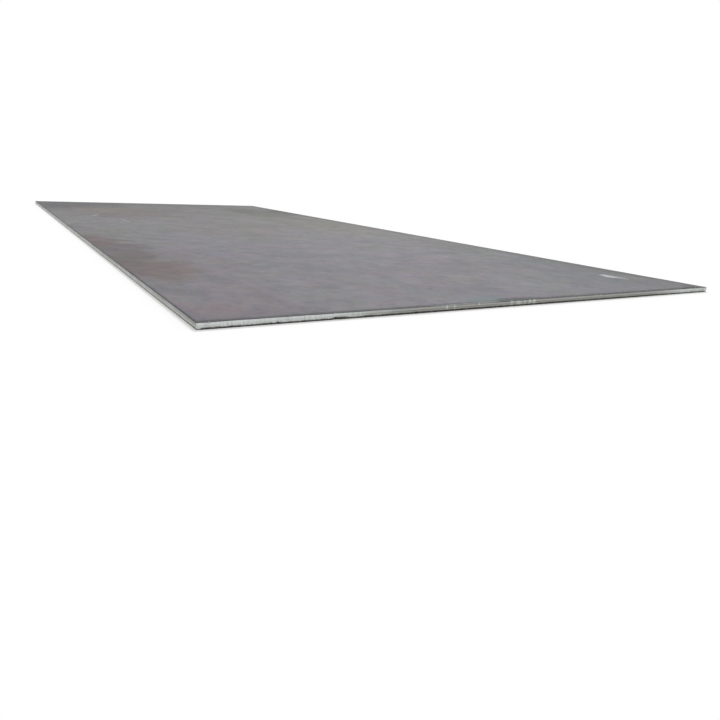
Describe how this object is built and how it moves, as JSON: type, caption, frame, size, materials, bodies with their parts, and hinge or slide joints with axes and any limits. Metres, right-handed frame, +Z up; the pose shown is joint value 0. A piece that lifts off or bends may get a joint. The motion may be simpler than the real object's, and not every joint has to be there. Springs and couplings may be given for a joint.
{
  "type": "steel plate",
  "caption": "Flat rectangular hot-rolled steel plate with mill scale on both faces, bright sheared edges and blunted corners, lying flat.",
  "frame": {"origin": "middle of the underside, on the floor that the plate lies on", "axes": "+X across the plate's width, +Y along its length and rolling direction, +Z up through its thickness"},
  "size_m": [2.438, 6, 0.022],
  "materials": {
    "mill_scale_steel": "matt blue-grey mill scale on the rolled faces, bright sheared steel on the edges"
  },
  "bodies": {
    "root": {"plate": "mill_scale_steel"}
  },
  "joints": []
}
